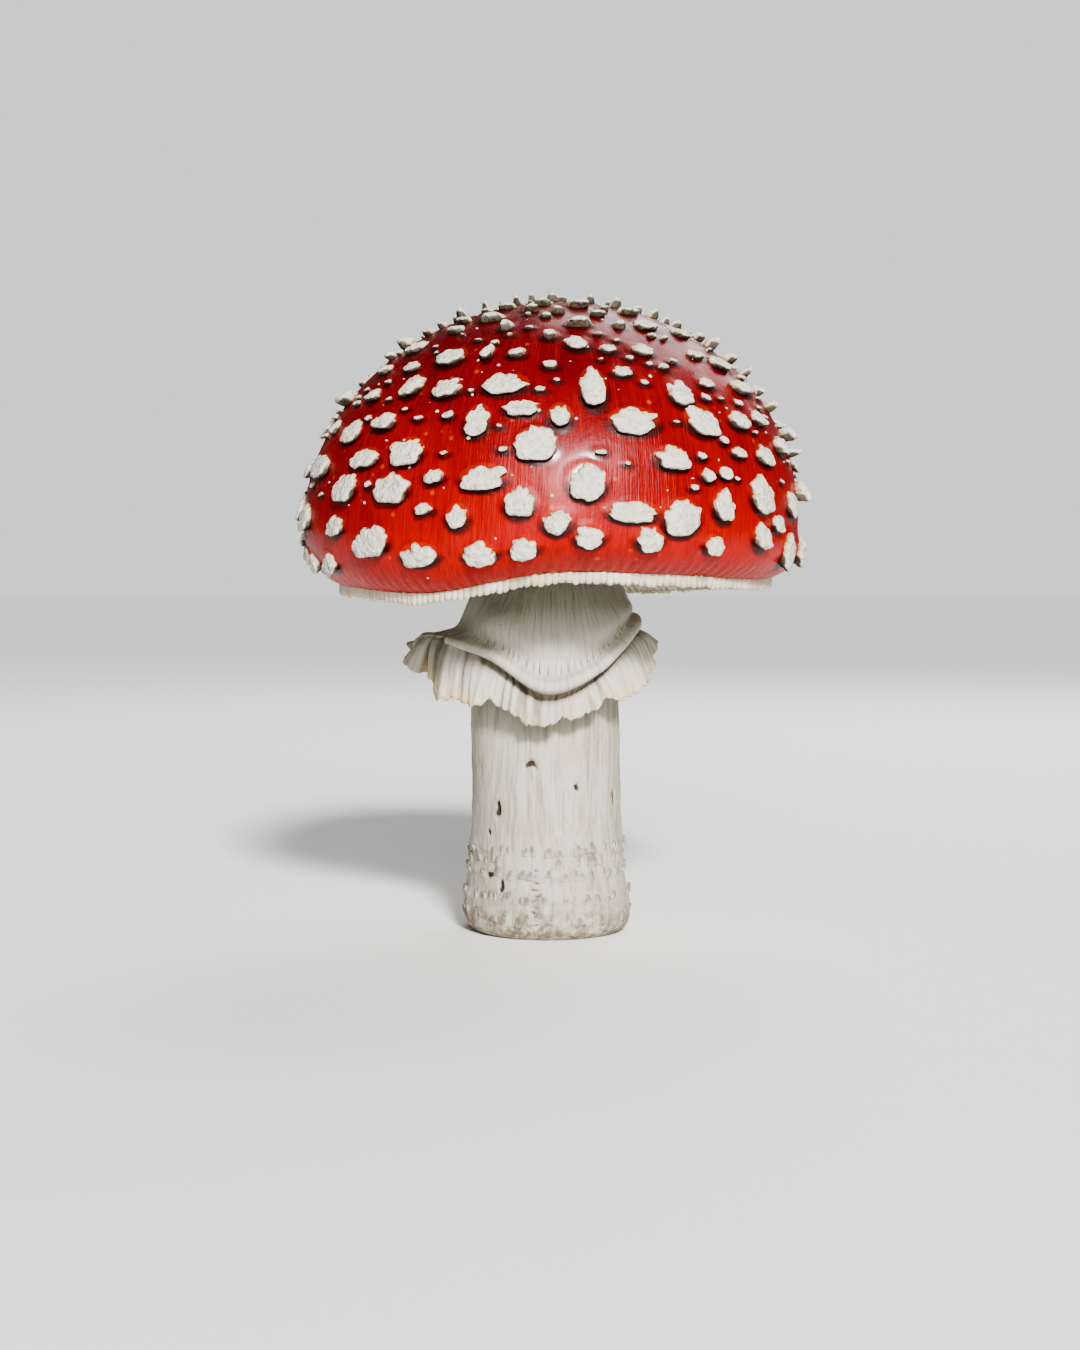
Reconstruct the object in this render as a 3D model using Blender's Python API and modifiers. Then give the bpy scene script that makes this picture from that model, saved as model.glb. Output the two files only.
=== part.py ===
"""Fly agaric with a domed young cap, as picked: it stands on the flat cut end of its stem.

Metres, +Z up. The origin is the middle of the flat foot. An azimuth is measured from the front (-Y) towards
the right (+X). A polar angle is measured down the cap's skin from the crown: 90 degrees is its widest ring.
"""

import math
import random

import bmesh
import bpy
from mathutils import Matrix, Vector

MM = 0.001

# The cap: a half ellipse above its widest ring, and a squarer rim that turns in to the margin below it.
CAP_RADIUS = 49.0 * MM
CAP_WIDEST_Z = 81.0 * MM
DOME_HEIGHT = 43.6 * MM
RIM_HEIGHT = 15.6 * MM
RIM_POWER = 3.0
MARGIN_POLAR = 126.0
MARGIN_Z = 70.0 * MM
LIP = 0.7 * MM
CAP_STEPS = 48
CAP_RINGS = 13
ROOF = [(45.5 * MM, 78.6 * MM), (36.2 * MM, 86.1 * MM), (0.0, 86.6 * MM)]

# How the growing mushroom leaves the turned shape. Each list goes round once, from the front to the right.
MARGIN_RISE = [n * MM for n in (1.1, 0.9, 0.1, 0.9, 0.4, -0.6, 0.5, -0.5, 0.3, -0.3, -1.5, -2.6)]
MARGIN_REACH = [n * MM for n in (0.0, 0.5, 1.6, 2.6, 1.4, 0.0, -0.5, 0.2, -0.4, -0.9, -0.6, -0.1)]
CAP_LEAN = 2.2 * MM
LEAN_START = 66.0 * MM
STEM_BOW = -0.6 * MM

# The gills: blades with slots between them, closed outside by the grooved fringe under the margin.
GILLS = 36
GILL_COLUMNS = 4
BLADE = 0.9 * MM
BLADE_DRAFT = 0.25 * MM
FRINGE_WALL = [(41.5, 71.2), (41.9, 68.3), (40.9, 67.9)]
FRINGE_GROOVE = 0.5 * MM
GILL_EDGE = [(40.1, 68.6), (36.0, 70.0), (29.0, 71.2), (22.5, 72.0), (19.6, 73.4)]
SLOT_ROOF = [(40.3, 76.0), (37.0, 82.0), (29.0, 84.3), (22.5, 84.8), (19.9, 85.0)]
GILL_TOP = [(18.8, 78.0), (18.8, 85.9), (36.0, 85.6), (45.0, 78.5)]

# The stem, turned from its top down to the cut foot, with low broken girdles of veil above the base.
STEM_PROFILE = [
    (16.0, 86.2), (15.2, 76.0), (14.3, 67.0), (14.5, 55.0), (14.8, 42.0), (14.8, 30.0), (15.0, 22.0),
    (15.3, 17.5), (15.4, 15.5), (15.6, 13.0), (15.8, 10.5), (16.3, 8.0), (16.7, 5.5), (16.6, 3.0),
    (15.8, 1.1), (14.0, 0.0),
]
STEM_STEPS = 36
GIRDLES = [17.5 * MM, 13.0 * MM, 8.0 * MM]
GIRDLE_RISE = 0.4 * MM
GIRDLE_HALF = 1.4 * MM
# Shallow ripples wind up the stem, from nothing at the foot to the height where the ring hides it.
RIPPLES = 3
RIPPLE = 0.2 * MM
RIPPLE_RISE = 9.0 * MM
RIPPLE_FADE = 6.0 * MM
RIPPLE_TOP = 60.0 * MM

# The ring: from its root under the cap it bulges to a pouch, creases, rolls over a crest, tucks in and flares
# to its torn edge. The lists go round once, from the front to the right.
RING_ROOT = (15.2 * MM, 66.5 * MM)
RING_CREST_R = [n * MM for n in (20.9, 20.5, 19.0, 17.0, 18.4, 20.2, 21.0, 21.8, 23.2, 23.8, 21.6, 20.6)]
RING_CREST_Z = [n * MM for n in (49.6, 53.2, 60.2, 62.6, 61.6, 58.4, 56.8, 57.2, 58.4, 58.8, 58.2, 55.6)]
RING_EDGE_R = [n * MM for n in (20.8, 21.3, 21.6, 20.8, 22.2, 23.6, 24.6, 25.2, 25.4, 25.1, 23.5, 21.4)]
RING_EDGE_Z = [n * MM for n in (43.3, 46.2, 50.4, 56.0, 55.4, 52.6, 50.0, 50.6, 53.4, 55.8, 48.6, 46.2)]
# How far out and down from the crest the ring tucks. It tucks in under the crest at the front only.
RING_TUCK_OUT = [n * MM for n in (-2.1, -1.8, -0.4, 2.0, 1.8, 1.2, 1.2, 1.4, 1.4, 1.4, 0.8, -1.1)]
RING_TUCK_DROP = 2.8 * MM
# The pouch and the crease, as shares of the way out from the root to the crest and of the way back up to it.
# On the left a flap sweeps out instead: its azimuth and half width in degrees, and its own shares.
RING_POUCH = (0.66, 0.54)
RING_CREASE = (0.66, 0.22)
FLAP = (-88.0, 62.0)
FLAP_POUCH = (0.24, 0.30)
FLAP_CREASE = (0.56, 0.10)
# Teeth and lobes of the torn edge: azimuth and half width in degrees, then reach and drop in mm.
RING_TEETH = [
    (-104, 10, 2.8, -1.6), (-80, 10, 3.0, 0.2), (-56, 7, 0.8, 1.2), (-44, 7, 0.3, 1.3), (-5, 9, 0.0, 2.2),
    (18, 7, 0.0, 1.4), (42, 7, 0.5, 1.0), (58, 8, 1.6, 0.8), (76, 7, 1.2, 0.2), (96, 9, 1.6, -0.8),
    (128, 8, 0.8, 0.8), (163, 9, 1.0, 1.2), (-166, 8, 0.6, 0.8), (-140, 9, 1.2, 0.6),
]
RING_THICK = 1.0 * MM
RING_STEPS = 60
RING_BANDS = 10
TOOTH = 0.45 * MM

# The warts seen on the front: azimuth and polar angle in degrees, then width and length in mm.
FRONT_WARTS = [
    (37, 33, 5.6, 4.4), (6, 43, 4.4, 4.8), (26, 45, 4.8, 4.0), (-33, 47, 6.2, 5.6), (58, 47, 6.2, 4.6),
    (-13, 57, 8.4, 5.4), (-8, 64, 5.8, 3.4), (-40, 56, 4.2, 5.6), (48, 45, 4.8, 2.8), (60, 55, 6.8, 3.8),
    (9, 58, 5.0, 9.6), (32, 59, 5.2, 5.8), (1, 66, 4.4, 5.4), (18, 67, 9.6, 6.0), (-18, 67, 4.8, 6.6),
    (36, 66, 7.6, 6.8), (49, 65, 5.6, 4.6), (-44, 66, 5.4, 3.8), (-56, 68, 6.2, 4.6), (-4, 73, 7.4, 6.8),
    (-34, 74, 6.8, 5.4), (-47, 75, 7.8, 4.0), (-66, 76, 6.8, 5.2), (26, 76, 6.8, 4.8), (56, 74, 5.6, 4.2),
    (-15, 81, 8.4, 5.0), (7, 82, 7.0, 6.8), (-52, 82, 6.6, 5.2), (-37, 83, 8.0, 5.2), (43, 55, 4.2, 3.0),
    (52, 84, 6.8, 6.2), (39, 87, 4.8, 6.0), (-7, 87, 5.2, 5.4), (17, 89, 9.6, 4.2), (28, 90, 8.0, 6.8),
    (1, 91, 5.2, 4.4), (-20, 90, 4.2, 4.6), (-55, 91, 5.6, 4.0), (-42, 96, 8.8, 5.0), (52, 95, 5.0, 5.2),
    (8, 97, 5.2, 4.2), (21, 98, 5.2, 4.4), (-29, 102, 7.8, 4.4), (67, 103, 5.4, 7.0), (-15, 104, 6.2, 3.8),
    (-20, 35, 2.8, 3.6), (-3, 40, 3.0, 3.0), (-12, 47, 3.4, 2.6), (15, 45, 3.4, 3.2), (17, 53, 3.8, 3.0),
    (-2, 51, 2.6, 2.6), (-21, 46, 2.2, 4.4), (8, 34, 5.0, 2.8), (24, 34, 2.9, 3.2), (59, 64, 4.6, 3.4),
    (40, 79, 3.1, 2.4), (35, 80, 3.2, 2.4),
]
# The warts that stand on the cap's outline, over the crown and down each side, with their height in mm and
# the share of their width that their top keeps.
OUTLINE_WARTS = [
    (-61, 25, 3.6, 3.0, 2.6, 0.30), (-66, 18, 2.4, 2.2, 2.4, 0.40), (-42, 14, 2.0, 2.0, 2.2, 0.30),
    (-41, 9, 2.2, 2.0, 2.2, 0.30), (-9, 10, 3.0, 2.6, 2.0, 0.30), (34, 12, 2.6, 2.2, 2.0, 0.30),
    (48, 17, 3.0, 2.4, 2.1, 0.50), (72, 23, 3.4, 2.6, 2.2, 0.40), (65, 30, 3.0, 2.6, 1.8, 0.40),
    (79, 34, 4.0, 3.2, 1.6, 0.80), (70, 39, 3.0, 2.8, 2.6, 0.80), (83, 43, 3.6, 2.8, 2.3, 0.80),
    (75, 49, 3.2, 2.4, 2.8, 0.35), (87, 53, 4.0, 3.2, 1.7, 0.80), (76, 59, 3.2, 2.8, 2.4, 0.50),
    (85, 66, 3.6, 4.0, 2.6, 0.90), (76, 72, 2.6, 2.2, 2.7, 0.50), (79, 82, 5.4, 3.8, 2.6, 0.90),
    (-76, 28, 3.0, 2.2, 1.3, 0.70), (-68, 33, 3.0, 2.2, 1.3, 0.60), (-81, 37, 4.4, 3.4, 2.2, 0.80),
    (-75, 57, 6.0, 3.8, 2.3, 0.85), (-85, 64, 4.0, 5.0, 1.0, 0.90), (-73, 75, 4.4, 3.6, 1.0, 0.90),
    (-84, 86, 4.0, 5.2, 1.4, 0.90),
]
# The others are drawn: least and most width and the gap to their neighbours, on the crown and lower down.
WART_SEED = 7
WART_TRIES = 5500
WART_LOWEST = 109.0
CROWN_POLAR = 55.0
CROWN_WARTS = (2.3 * MM, 4.2 * MM, 1.2 * MM)
LOWER_WARTS = (3.2 * MM, 7.0 * MM, 2.3 * MM)
WART_SQUAT = (0.62, 0.95)
# A wart's height and the share of its width that its top keeps. Some on the crown are sharper and taller.
WART_HEIGHT = (0.9 * MM, 1.6 * MM)
WART_TOP = (0.74, 0.92)
SPIKE_RANGE = 25.0
SPIKE_EXTRA = 0.6 * MM
SPIKE_TAPER = 0.5
WART_UNEVEN = (0.87, 1.15)
WART_SIDES = 6
SMALL_WART = 4.4 * MM
WART_ROOT = 1.1 * MM
# How far a wart's top tips and slides downhill, as shares of its height and of its length.
TIP_MIDDLE = 0.85
TIP_SLOPE = 0.5
TIP_SLIDE = 0.1


def between(a, b, c, d, t):
    """A smooth curve through four values, read between the second and the third."""
    return b + t / 2 * (c - a + t * (2 * a - 5 * b + 4 * c - d + t * (3 * (b - c) + d - a)))


def around(values, azimuth):
    """A smooth closed curve through values spread evenly round the stem, the first at the front."""
    place = azimuth / math.tau % 1 * len(values)
    k = int(place)
    return between(*(values[(k + i) % len(values)] for i in (-1, 0, 1, 2)), place - k)


def degrees_off(azimuth, centre):
    """How many degrees an azimuth lies to the right of a centre given in degrees, from -180 to 180."""
    return (math.degrees(azimuth) - centre + 180) % 360 - 180


def smooth(t):
    """0 below 0, 1 above 1, and a soft step between them."""
    t = min(1.0, max(0.0, t))
    return t * t * (3 - 2 * t)


def grown(azimuth, radius, z):
    """Where a point of the turned mushroom ends up once it has leaned and its margin has waved."""
    low = smooth((CAP_WIDEST_Z - z) / (CAP_WIDEST_Z - MARGIN_Z)) * smooth(radius / CAP_RADIUS)
    if z > MARGIN_Z - 5 * MM:
        z += low * around(MARGIN_RISE, azimuth)
        radius += low * around(MARGIN_REACH, azimuth)
    lean = CAP_LEAN * max(0.0, z - LEAN_START) / (CAP_WIDEST_Z + DOME_HEIGHT - LEAN_START)
    bow = STEM_BOW * math.sin(math.pi * min(1.0, z / CAP_WIDEST_Z))
    return Vector((radius * math.sin(azimuth) + lean + bow, -radius * math.cos(azimuth), z))


def skin_profile(polar):
    """Radius and height of the cap's skin at a polar angle in degrees."""
    angle = math.radians(polar)
    if polar <= 90:
        return CAP_RADIUS * math.sin(angle), CAP_WIDEST_Z + DOME_HEIGHT * math.cos(angle)
    down = angle - math.pi / 2
    share = 2 / RIM_POWER
    return CAP_RADIUS * math.cos(down) ** share, CAP_WIDEST_Z - RIM_HEIGHT * math.sin(down) ** share


def skin_point(azimuth, polar):
    return grown(azimuth, *skin_profile(polar))


def skin_frame(azimuth, polar):
    """A frame on the skin: X runs round the cap, Y runs up to the crown and Z points out."""
    step = 0.5
    here = skin_point(azimuth, polar)
    across = skin_point(azimuth + math.radians(step), polar) - skin_point(azimuth - math.radians(step), polar)
    up = skin_point(azimuth, polar - step) - skin_point(azimuth, polar + step)
    out = across.cross(up).normalized()
    across.normalize()
    frame = Matrix((across, out.cross(across), out)).transposed().to_4x4()
    frame.translation = here
    return frame


def choose_warts():
    """The known warts, then seeded ones wherever the cap still has room for them."""
    draw = random.Random(WART_SEED)
    warts = []

    def add(azimuth, polar, width, length, height=None, top=None):
        sharp = smooth((CROWN_POLAR - polar) / SPIKE_RANGE) * draw.random() ** 2
        warts.append({
            "azimuth": azimuth,
            "polar": polar,
            "width": width,
            "length": length,
            "place": skin_point(azimuth, polar),
            "height": height or draw.uniform(*WART_HEIGHT) + sharp * SPIKE_EXTRA,
            "top": top or draw.uniform(*WART_TOP) - sharp * SPIKE_TAPER,
            "turn": draw.uniform(0, math.tau),
            "uneven": [draw.uniform(*WART_UNEVEN) for _ in range(WART_SIDES)],
        })

    for azimuth, polar, width, length in FRONT_WARTS:
        add(math.radians(azimuth), polar, width * MM, length * MM)
    for azimuth, polar, width, length, height, top in OUTLINE_WARTS:
        add(math.radians(azimuth), polar, width * MM, length * MM, height * MM, top)
    least_cos = math.cos(math.radians(WART_LOWEST))
    for _ in range(WART_TRIES):
        azimuth = draw.uniform(0, math.tau)
        polar = math.degrees(math.acos(draw.uniform(least_cos, 1.0)))
        low = smooth(polar / CROWN_POLAR)
        least, most, gap = (a + low * (b - a) for a, b in zip(CROWN_WARTS, LOWER_WARTS))
        width = draw.uniform(least, most)
        length = width * draw.uniform(*WART_SQUAT)
        place = skin_point(azimuth, polar)
        if all((place - wart["place"]).length > (width + wart["width"]) / 2 + gap for wart in warts):
            add(azimuth, polar, width, length)
    return warts


def wart_mesh(wart):
    """An uneven frustum that leans downhill: thick at its lower edge, thin where it meets the skin above."""
    shape = bmesh.new()
    deep = wart["height"] + WART_ROOT
    sides = WART_SIDES if wart["width"] > SMALL_WART else WART_SIDES - 1
    bmesh.ops.create_cone(shape, cap_ends=True, segments=sides, radius1=0.5, radius2=0.5 * wart["top"],
                          depth=deep, matrix=Matrix.Translation((0, 0, deep / 2 - WART_ROOT)))
    for vert in shape.verts:
        side = math.atan2(vert.co.y, vert.co.x)
        corner = math.floor(side / math.tau * sides) % sides
        radius = math.hypot(vert.co.x, vert.co.y) * wart["uneven"][corner]
        x = radius * math.cos(side + wart["turn"]) * wart["width"]
        y = radius * math.sin(side + wart["turn"]) * wart["length"]
        z = vert.co.z
        if z > 0:
            z *= TIP_MIDDLE - TIP_SLOPE * y / wart["length"]
            y -= TIP_SLIDE * wart["length"]
        vert.co = x, y, z
    shape.transform(skin_frame(wart["azimuth"], wart["polar"]))
    mesh = bpy.data.meshes.new("wart")
    shape.to_mesh(mesh)
    shape.free()
    return mesh


def material(name, colour, roughness):
    made = bpy.data.materials.new(name)
    made.use_nodes = True
    shader = made.node_tree.nodes["Principled BSDF"]
    shader.inputs["Base Color"].default_value = (*colour, 1.0)
    shader.inputs["Roughness"].default_value = roughness
    return made


def put(name, mesh, collection, look=None):
    made = bpy.data.objects.new(name, mesh)
    collection.objects.link(made)
    if look:
        mesh.materials.append(look)
    return made


def evaluated(made):
    """Applies the object's modifiers to its mesh."""
    bpy.context.view_layer.update()
    mesh = bpy.data.meshes.new_from_object(made.evaluated_get(bpy.context.evaluated_depsgraph_get()))
    made.modifiers.clear()
    made.data = mesh


def turned(name, profile, steps, collection, look, closed=False):
    """Turns a profile of (radius, height) points round the Z axis, as a plain mesh."""
    mesh = bpy.data.meshes.new(name)
    last = len(profile) - 1
    edges = [(k, k + 1) for k in range(last)] + ([(last, 0)] if closed else [])
    mesh.from_pydata([(r, 0, z) for r, z in profile], edges, [])
    made = put(name, mesh, collection, look)
    screw = made.modifiers.new("turn", "SCREW")
    screw.steps = screw.render_steps = steps
    screw.use_merge_vertices = True
    screw.merge_threshold = 0.01 * MM
    evaluated(made)
    return made


def reshape(made, move):
    """Moves every vertex to move(azimuth, radius, z)."""
    for vert in made.data.vertices:
        x, y, z = vert.co
        vert.co = move(math.atan2(x, -y), math.hypot(x, y), z)


def make_cap(collection, look):
    outer = [skin_profile(MARGIN_POLAR * k / CAP_RINGS) for k in range(CAP_RINGS + 1)]
    outer[0] = (0.0, outer[0][1])
    margin_radius, margin_z = outer[-1]
    cap = turned("cap", outer + [(margin_radius - LIP, margin_z)] + ROOF, CAP_STEPS, collection, look)
    reshape(cap, grown)

    warts = bpy.data.collections.new("warts")
    bpy.context.scene.collection.children.link(warts)
    for wart in choose_warts():
        put("wart", wart_mesh(wart), warts)
    cap.modifiers.new("facets", "TRIANGULATE")
    join = cap.modifiers.new("warts", "BOOLEAN")
    join.operation = "UNION"
    join.operand_type = "COLLECTION"
    join.collection = warts
    join.solver = "MANIFOLD"
    evaluated(cap)
    for made in list(warts.objects):
        bpy.data.objects.remove(made)
    bpy.data.collections.remove(warts)
    return cap


def make_gills(collection, look):
    """A turned band whose underside is cut into blades: two columns in four stay low, and two rise."""
    wall, edge, roof, top = (
        [(r * MM, z * MM) for r, z in points] for points in (FRINGE_WALL, GILL_EDGE, SLOT_ROOF, GILL_TOP)
    )
    columns = GILLS * GILL_COLUMNS
    gills = turned("gills", wall + edge + top, columns, collection, look, closed=True)

    def cut(azimuth, radius, z):
        column = round(azimuth / math.tau * columns) % columns
        gill, place = divmod(column, GILL_COLUMNS)
        centre = math.tau * gill / GILLS
        distances = [math.hypot(r - radius, z0 - z) for r, z0 in wall + edge + top]
        row = distances.index(min(distances))
        if row < len(wall) or row >= len(wall) + len(edge):
            groove = FRINGE_GROOVE if place > 1 and 0 < row < len(wall) else 0.0
            return grown(azimuth, radius - groove, z + groove)
        half = BLADE / 2 / radius
        draft = BLADE_DRAFT / radius
        if place > 1:
            radius, z = roof[row - len(wall)]
        turn = (-half, half, half + draft, math.tau / GILLS - half - draft)[place]
        return grown(centre + turn, radius, z)

    reshape(gills, cut)
    return gills


def make_stem(collection, look):
    profile = [(0.0, STEM_PROFILE[0][1] * MM)] + [(r * MM, z * MM) for r, z in STEM_PROFILE] + [(0.0, 0.0)]
    stem = turned("stem", profile, STEM_STEPS, collection, look)

    def swell(azimuth, radius, z):
        if radius > 0 and 0 < z < RIPPLE_TOP:
            ripple = math.sin(RIPPLES * azimuth + z / RIPPLE_RISE)
            radius += RIPPLE * ripple * smooth(z / RIPPLE_FADE)
            for k, height in enumerate(GIRDLES):
                broken = smooth(0.5 + 0.9 * math.sin((4 + k) * azimuth + 2 * k))
                radius += GIRDLE_RISE * broken * smooth(1 - abs(z - height) / GIRDLE_HALF)
        return grown(azimuth, radius, z)

    reshape(stem, swell)
    return stem


def ring_section(azimuth):
    """The ring's section at an azimuth: (radius, height) of its root, pouch, crease, crest, tuck and edge."""
    root_r, root_z = RING_ROOT
    crest_r, crest_z = around(RING_CREST_R, azimuth), around(RING_CREST_Z, azimuth)
    flap_centre, flap_half = FLAP
    flap = smooth(1.4 - 1.4 * abs(degrees_off(azimuth, flap_centre)) / flap_half)

    def above_crest(shares, flap_shares):
        out, up = (a + flap * (b - a) for a, b in zip(shares, flap_shares))
        return root_r + out * (crest_r - root_r), crest_z + up * (root_z - crest_z)

    tuck = crest_r + around(RING_TUCK_OUT, azimuth), crest_z - RING_TUCK_DROP * (1 - 0.6 * flap)
    ragged = TOOTH * (math.sin(17 * azimuth) + 0.7 * math.sin(29 * azimuth + 1))
    edge_r, edge_z = around(RING_EDGE_R, azimuth) + 0.5 * ragged, around(RING_EDGE_Z, azimuth) - ragged
    for centre, half, reach, drop in RING_TEETH:
        tooth = max(0.0, 1 - abs(degrees_off(azimuth, centre)) / half)
        edge_r += tooth * reach * MM
        edge_z -= tooth * drop * MM
    pouch, crease = above_crest(RING_POUCH, FLAP_POUCH), above_crest(RING_CREASE, FLAP_CREASE)
    return [RING_ROOT, pouch, crease, (crest_r, crest_z), tuck, (edge_r, edge_z)]


def ring_point(azimuth, along):
    """A point of the ring's sheet: along runs from 0 at the root to 1 at the torn edge."""
    section = ring_section(azimuth)
    before = [2 * a - b for a, b in zip(section[0], section[1])]
    after = [2 * a - b for a, b in zip(section[-1], section[-2])]
    section = [before, *section, after]
    spans = len(section) - 3
    k = min(int(along * spans), spans - 1)
    radius, z = (between(*values, along * spans - k) for values in zip(*section[k:k + 4]))
    return grown(azimuth, radius, z)


def make_ring(collection, look):
    """A flat washer, turned and then drawn over the ring's sheet, which Solidify gives its thickness."""
    washer = [(1.0 - k / RING_BANDS * 0.5, 0.0) for k in range(RING_BANDS + 1)]
    ring = turned("ring", washer, RING_STEPS, collection, look)
    reshape(ring, lambda azimuth, radius, z: ring_point(azimuth, 2 * radius - 1))
    thick = ring.modifiers.new("sheet", "SOLIDIFY")
    thick.thickness = RING_THICK
    thick.offset = 0.0
    thick.use_even_offset = True
    return ring


def main():
    for made in list(bpy.data.objects):
        bpy.data.objects.remove(made)
    mushroom = bpy.data.collections.new("fly_agaric")
    bpy.context.scene.collection.children.link(mushroom)
    make_cap(mushroom, material("cap_red", (0.55, 0.03, 0.015), 0.3))
    make_gills(mushroom, material("gill_cream", (0.86, 0.82, 0.70), 0.6))
    make_ring(mushroom, material("ring_white", (0.88, 0.86, 0.78), 0.7))
    make_stem(mushroom, material("stem_white", (0.86, 0.84, 0.76), 0.7))


main()
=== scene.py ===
"""Fly agaric: its fine surface, colours, light and view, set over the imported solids. Metres, +Z up.

An azimuth is measured from the front (-Y) towards the right (+X). A polar angle is measured down the cap's
skin from the crown: 90 degrees is its widest ring. "along" runs down the ring, from 0 at its top to 1 at its
torn edge.
"""

import random
from math import acos, asin, atan2, ceil, cos, degrees, dist, hypot, pi, radians, sin, tau
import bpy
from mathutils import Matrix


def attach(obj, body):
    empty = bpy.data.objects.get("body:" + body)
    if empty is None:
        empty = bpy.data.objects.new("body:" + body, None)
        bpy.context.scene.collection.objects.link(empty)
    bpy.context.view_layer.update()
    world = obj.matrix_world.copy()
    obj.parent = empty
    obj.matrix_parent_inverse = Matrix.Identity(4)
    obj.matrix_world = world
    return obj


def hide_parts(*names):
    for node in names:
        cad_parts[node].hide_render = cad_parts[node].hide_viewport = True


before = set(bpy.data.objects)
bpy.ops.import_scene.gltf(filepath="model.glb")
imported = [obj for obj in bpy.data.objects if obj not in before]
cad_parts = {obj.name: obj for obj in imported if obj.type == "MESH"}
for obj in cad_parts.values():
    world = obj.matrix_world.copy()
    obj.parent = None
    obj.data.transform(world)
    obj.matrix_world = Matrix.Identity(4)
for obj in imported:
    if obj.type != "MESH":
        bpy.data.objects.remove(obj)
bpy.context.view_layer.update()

from types import SimpleNamespace

import bmesh
import bpy
from mathutils import Matrix, Vector, noise
from mathutils.kdtree import KDTree

MM = 0.001


def mm(*sizes):
    return [size * MM for size in sizes]


# The cap: a half ellipse above its widest ring, and below it a squarer rim that turns in to the margin.
CAP_RADIUS = 49.0 * MM
CAP_WIDEST_Z = 81.0 * MM
DOME_HEIGHT = 43.6 * MM
RIM_HEIGHT = 15.6 * MM
RIM_POWER = 3.0
MARGIN_POLAR = 126.0
MARGIN_Z = 70.0 * MM
LIP = 0.7 * MM
ROOF = [mm(45.5, 78.6), mm(36.2, 86.1), mm(0.0, 86.6)]
LIP_ROUND = 0.1 * MM
SKIN_COLUMNS = 448
SKIN_ROWS = 208

# How growth leaves the turned shape. Each list goes round once, from the front to the right.
MARGIN_RISE = mm(1.1, 0.9, 0.1, 0.9, 0.4, -0.6, 0.5, -0.5, 0.3, -0.3, -1.5, -2.6)
MARGIN_REACH = mm(0.0, 0.5, 1.6, 2.6, 1.4, 0.0, -0.5, 0.2, -0.4, -0.9, -0.6, -0.1)
CAP_LEAN = 2.2 * MM
LEAN_START = 66.0 * MM
STEM_BOW = -0.6 * MM
# The wave of the margin sets in between two heights.
WAVE_HEIGHTS = mm(62.0, 67.0)

# The skin's relief: a soft swell, a collar round each wart and short grooves along the margin.
SWELL = 0.22 * MM
SWELL_WAVE = 13 * MM
COLLAR = 0.12 * MM
COLLAR_WIDTH = 0.9 * MM
# How many warts shape the skin at a point.
NEIGHBOURS = 7
# How far below a wart the skin is darkened by a painted shadow, and over what distance that fades.
PAINTED_SHADOW_WIDTH = 1.25 * MM
PAINTED_SHADOW_FADE = 0.7 * MM
MARGIN_GROOVE = 0.13 * MM
MARGIN_GROOVES = 130
GROOVE_POLAR = (108.0, 122.0)

# Crumbs of veil: how many on a square metre at the crown, and their least and most radius.
CRUMB_DENSITY = 52000.0
CRUMB_SIZE = mm(0.15, 0.5)
CRUMB_ROUGH = 0.2 * MM

# The gills in three lengths: how many, the turn of the first, their inner radius and their cuts.
GILL_TIERS = [(84, 0.0, 19.2 * MM, 12), (84, 0.5, 27.0 * MM, 9), (168, 0.25, 34.5 * MM, 6)]
GILL_OUTER = 40.9 * MM
GILL_THICK = 0.42 * MM
GILL_SWAY = 0.35 * MM
# How far a blade strays to either side, in radians.
GILL_STRAY = 0.006
GILL_EDGE = [(40.9, 68.5), (36.0, 70.0), (29.0, 71.2), (22.5, 72.0), (19.2, 73.6)]
GILL_ROOF = [(40.9, 77.5), (37.0, 84.6), (29.0, 86.0), (22.5, 86.2), (19.2, 86.2)]

# The fringe of torn veil that hangs from the margin, in a scalloped row.
FRINGE_TEETH = 212
FRINGE_RADIUS = 41.8 * MM
FRINGE_TOP = 70.9 * MM
FRINGE_DROP = 3.2 * MM
FRINGE_THICK = 0.85 * MM
FRINGE_OVERLAP = 1.3
FRINGE_SCALLOP = 0.42 * MM
# How far a tooth strays, tips and turns, and the least and most shares of its width and length.
FRINGE_STRAY = 0.08 * MM
FRINGE_TIP = (-0.04, 0.02)
FRINGE_TURN = 0.05
FRINGE_WIDTHS = (0.85, 1.15)
FRINGE_LENGTHS = (0.88, 1.0)

# The stem, turned from its top to the foot, with low broken girdles above the base.
STEM_PROFILE = [
    (16.0, 86.2), (15.2, 76.0), (14.3, 67.0), (14.5, 55.0), (14.8, 42.0), (14.8, 30.0), (15.0, 22.0),
    (15.3, 17.5), (15.4, 15.5), (15.6, 13.0), (15.8, 10.5), (16.3, 8.0), (16.7, 5.5), (16.6, 3.0),
    (15.8, 1.1), (14.0, 0.0),
]
STEM_COLUMNS = 320
STEM_ROW = 0.5 * MM
GIRDLES = mm(17.5, 13.0, 8.0)
GIRDLE_RISE = 0.4 * MM
GIRDLE_HALF = 1.4 * MM
# Shallow ripples wind up the stem, from the foot to where the ring hides it.
RIPPLES = 3
RIPPLE = 0.2 * MM
RIPPLE_RISE = 9.0 * MM
RIPPLE_FADE = 6.0 * MM
RIPPLE_TOP = 60.0 * MM
STEM_GRAIN = 0.12 * MM
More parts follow.
